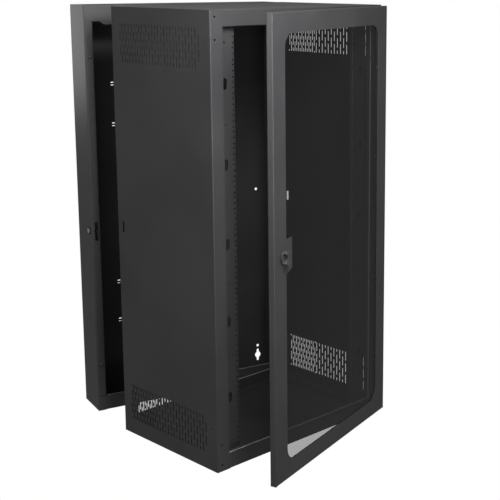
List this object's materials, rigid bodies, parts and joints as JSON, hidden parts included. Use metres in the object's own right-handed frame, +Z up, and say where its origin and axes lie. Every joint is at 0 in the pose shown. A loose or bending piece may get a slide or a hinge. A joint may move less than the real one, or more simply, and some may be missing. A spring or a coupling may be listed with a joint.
{
  "type": "swing-out wall mount network cabinet",
  "caption": "Three-section wall mount rack cabinet: wall section, swing-out rack section with vents and rails, and a door with a tinted window.",
  "frame": {"origin": "centre of the wall bolt pattern on the back face of the wall section", "axes": "+Z up, front of the wall section towards -Y, +X to the right seen from the front; the rack section is stored swung 15 degrees open about its right edge and the door 15.5 degrees open on it"},
  "size_m": [0.7742, 0.8851, 1.2544],
  "materials": {
    "black_powder_coat": "fine textured black powder coat",
    "zinc_plated_steel": "zinc plated",
    "chrome_plate": "polished",
    "black_rubber": "moulded",
    "black_plastic": "moulded, satin",
    "white_nylon": "moulded",
    "smoked_acrylic": "clear, smoke tinted"
  },
  "bodies": {
    "wall_section": {"rear_back_panel": "black_powder_coat", "rear_side_left": "black_powder_coat", "rear_side_right": "black_powder_coat", "rear_top": "black_powder_coat", "rear_bottom": "black_powder_coat", "lacing_bridges": "black_powder_coat", "rear_bumpers": "black_rubber", "swing_hinge_ears": "black_powder_coat", "swing_ear_rivets": "black_powder_coat", "rear_lock_plate": "black_plastic", "rear_lock_housing": "chrome_plate", "rear_lock_nut": "zinc_plated_steel"},
    "cabinet": {"bottom_panel": "black_powder_coat", "door_bracket_screws": "black_powder_coat", "door_hinge_brackets": "black_powder_coat", "door_pin_bottom": "zinc_plated_steel", "door_washer": "white_nylon", "frame_rivets": "black_powder_coat", "front_stile_left": "black_powder_coat", "front_stile_right": "black_powder_coat", "rack_rail_left": "black_powder_coat", "rack_rail_right": "black_powder_coat", "rail_bolts": "zinc_plated_steel", "rail_channel_bottom_left": "black_powder_coat", "rail_channel_bottom_right": "black_powder_coat", "rail_channel_top_left": "black_powder_coat", "rail_channel_top_right": "black_powder_coat", "rail_feet_left": "black_powder_coat", "rail_feet_right": "black_powder_coat", "rear_stile_left": "black_powder_coat", "rear_stile_right": "black_powder_coat", "side_panel_left": "black_powder_coat", "side_panel_right": "black_powder_coat", "swing_pin_housings": "black_powder_coat", "top_panel": "black_powder_coat"},
    "door": {"door_panel": "black_powder_coat", "door_window": "smoked_acrylic", "window_retainer_left": "black_powder_coat", "window_retainer_right": "black_powder_coat", "window_retainer_top": "black_powder_coat", "window_retainer_bottom": "black_powder_coat", "retainer_nuts": "zinc_plated_steel", "door_bushings": "white_nylon", "door_pin_guide": "black_powder_coat", "latch_housing": "black_plastic", "latch_nut": "zinc_plated_steel"},
    "rear_lock": {"rear_lock_plug": "chrome_plate", "rear_lock_hook": "chrome_plate", "rear_lock_screw": "chrome_plate"},
    "door_latch": {"latch_knob": "black_plastic", "latch_spindle": "zinc_plated_steel", "latch_cam": "zinc_plated_steel", "latch_cam_nut": "zinc_plated_steel"},
    "swing_pin_bottom": {"swing_pin_bottom": "zinc_plated_steel"},
    "swing_pin_top": {"swing_pin_top": "zinc_plated_steel"},
    "door_pin": {"door_pin_top": "zinc_plated_steel"}
  },
  "joints": [
    {"name": "cabinet_swing", "type": "hinge", "parent": "wall_section", "child": "cabinet", "pos_m": [0.3199, -0.1362, 0], "axis": [0, 0, 1], "range_deg": [-15, 75]},
    {"name": "door_swing", "type": "hinge", "parent": "cabinet", "child": "door", "pos_m": [0.43058, -0.55699, 0], "axis": [0, 0, 1], "range_deg": [-15.5, 84.5]},
    {"name": "rear_lock_turn", "type": "hinge", "parent": "wall_section", "child": "rear_lock", "pos_m": [-0.3279, -0.099, -0.0525], "axis": [1, 0, 0], "range_deg": [0, 90]},
    {"name": "door_latch_turn", "type": "hinge", "parent": "door", "child": "door_latch", "pos_m": [-0.07723, -0.84161, -0.0022], "axis": [-0.5075, 0.8616, 0], "range_deg": [0, 90]},
    {"name": "swing_pin_bottom_pull", "type": "slide", "parent": "cabinet", "child": "swing_pin_bottom", "axis": [0, 0, 1], "range_m": [0, 0.008], "stiffness_N_per_m": 300, "springref_m": -0.012},
    {"name": "swing_pin_top_pull", "type": "slide", "parent": "cabinet", "child": "swing_pin_top", "axis": [0, 0, -1], "range_m": [0, 0.008], "stiffness_N_per_m": 300, "springref_m": -0.012},
    {"name": "door_pin_pull", "type": "slide", "parent": "door", "child": "door_pin", "axis": [0, 0, -1], "range_m": [0, 0.009], "stiffness_N_per_m": 300, "springref_m": -0.012}
  ]
}
